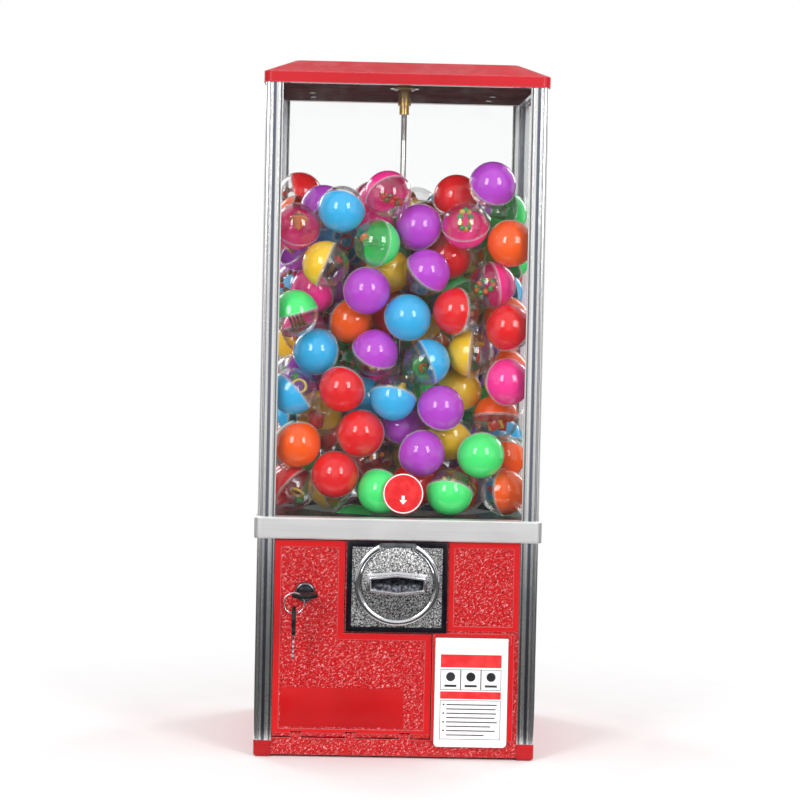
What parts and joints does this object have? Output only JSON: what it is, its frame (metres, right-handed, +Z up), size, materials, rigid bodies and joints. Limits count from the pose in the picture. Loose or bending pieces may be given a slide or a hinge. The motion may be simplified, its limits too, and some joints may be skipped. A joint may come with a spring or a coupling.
{
  "type": "toy capsule vending machine",
  "caption": "Square tabletop vending machine with a clear capsule hopper, coin knob, cash door and delivery flap.",
  "frame": {"origin": "on the floor under the middle of the cabinet's square footprint, at the centre of the stand-bolt pattern", "axes": "+Z up, the front with the knob and flap faces -Y, +X to the right of someone facing the front"},
  "size_m": [0.264, 0.299, 0.641],
  "materials": {
    "red_plastic": "glossy moulded plastic, leather-grained fields",
    "chromed_metal": "polished",
    "satin_aluminium": "satin",
    "clear_pane": "clear",
    "black_plastic": "fine matt",
    "zinc_steel": "zinc-plated",
    "cast_zinc": "coarse-grained casting, plated",
    "brass": "turned",
    "white_plastic": "smooth",
    "grey_plastic": "moulded",
    "lid_liner_red": "satin paint",
    "sticker_red": "printed",
    "capsule_blue": "glossy",
    "capsule_green": "glossy",
    "capsule_purple": "glossy",
    "capsule_red": "glossy",
    "capsule_pink": "glossy",
    "capsule_yellow": "glossy",
    "capsule_orange": "glossy"
  },
  "bodies": {
    "cabinet": {"base_pan": "red_plastic", "base_feet": "red_plastic", "corner_posts": "chromed_metal", "waist_band": "satin_aluminium", "pane_front": "clear_pane", "pane_right": "clear_pane", "pane_rear": "clear_pane", "pane_left": "clear_pane", "panel_left": "red_plastic", "panel_right": "red_plastic", "panel_rear": "red_plastic", "panel_front": "red_plastic", "top_rails": "satin_aluminium", "hopper": "black_plastic", "centre_rod": "zinc_steel", "rod_nuts": "zinc_steel", "chute_tube": "black_plastic", "outlet_chute": "black_plastic", "coin_box": "zinc_steel", "coin_guide": "zinc_steel", "mech_frame": "black_plastic", "mech_face": "cast_zinc", "mech_housing": "zinc_steel", "mech_back_plate": "zinc_steel", "cabinet_screws": "zinc_steel", "hinge_pins": "zinc_steel", "lock_keeper": "zinc_steel", "round_sticker": "sticker_red", "capsules_blue": "capsule_blue", "capsules_green": "capsule_green", "capsules_purple": "capsule_purple", "capsules_red": "capsule_red", "capsules_pink": "capsule_pink", "capsules_yellow": "capsule_yellow", "capsules_orange": "capsule_orange"},
    "capsule_wheel": {"capsule_wheel": "grey_plastic", "pocket_capsules": "capsule_pink"},
    "coin_drive": {"knob_disc": "cast_zinc", "knob_handle": "cast_zinc", "drive_shaft": "zinc_steel", "coin_wheel": "brass", "ratchet_wheel": "zinc_steel", "drive_pinion": "brass"},
    "pawl": {"ratchet_pawl": "zinc_steel"},
    "chute_flap": {"chute_flap": "white_plastic"},
    "cash_door": {"cash_door": "red_plastic", "label_plate": "red_plastic", "lock_body": "chromed_metal", "lock_nut": "zinc_steel"},
    "lock_plug": {"lock_plug": "chromed_metal", "lock_cam": "zinc_steel"},
    "door_key": {"door_key": "zinc_steel"},
    "key_ring": {"key_ring": "chromed_metal"},
    "spare_key": {"spare_key": "zinc_steel"},
    "lid": {"lid_shell": "red_plastic", "lid_liner": "lid_liner_red", "lid_screws": "zinc_steel", "lid_lock_barrel": "brass"},
    "lid_lock": {"lid_lock_plug": "zinc_steel"}
  },
  "joints": [
    {"name": "wheel_turn", "type": "hinge", "parent": "cabinet", "child": "capsule_wheel", "pos_m": [0, 0, 0.2], "axis": [0, 0, 1], "continuous": true},
    {"name": "knob_turn", "type": "hinge", "parent": "cabinet", "child": "coin_drive", "pos_m": [0, -0.12, 0.1625], "axis": [0, 1, 0], "continuous": true},
    {"name": "pawl_drop", "type": "hinge", "parent": "cabinet", "child": "pawl", "pos_m": [-0.024, -0.1165, 0.1795], "axis": [0, 1, 0], "range_deg": [0, 6], "stiffness_Nm_per_rad": 0.05},
    {"name": "flap_swing", "type": "hinge", "parent": "cabinet", "child": "chute_flap", "pos_m": [0.07, -0.1296, 0.1105], "axis": [-1, 0, 0], "range_deg": [0, 75]},
    {"name": "door_swing", "type": "hinge", "parent": "cabinet", "child": "cash_door", "pos_m": [-0.04, -0.1245, 0.0205], "axis": [1, 0, 0], "range_deg": [0, 75]},
    {"name": "lock_turn", "type": "hinge", "parent": "cash_door", "child": "lock_plug", "pos_m": [-0.084, -0.12, 0.152], "axis": [0, -1, 0], "range_deg": [0, 90]},
    {"name": "key_slide", "type": "slide", "parent": "lock_plug", "child": "door_key", "axis": [0, -1, 0], "range_m": [0, 0.03]},
    {"name": "ring_swing", "type": "hinge", "parent": "door_key", "child": "key_ring", "pos_m": [-0.0935, -0.155, 0.1452], "axis": [0, 1, 0], "range_deg": [-15, 15]},
    {"name": "spare_swing", "type": "hinge", "parent": "key_ring", "child": "spare_key", "pos_m": [-0.0935, -0.155, 0.1358], "axis": [1, 0, 0], "range_deg": [-20, 20]},
    {"name": "lid_lift", "type": "slide", "parent": "cabinet", "child": "lid", "axis": [0, 0, 1], "range_m": [0, 0.06]},
    {"name": "lid_lock_turn", "type": "hinge", "parent": "lid", "child": "lid_lock", "pos_m": [0, 0, 0.63], "axis": [0, 0, 1], "range_deg": [0, 90]}
  ],
  "couplings": [
    {"joint": "knob_turn", "follows": "wheel_turn", "ratio": 4}
  ]
}
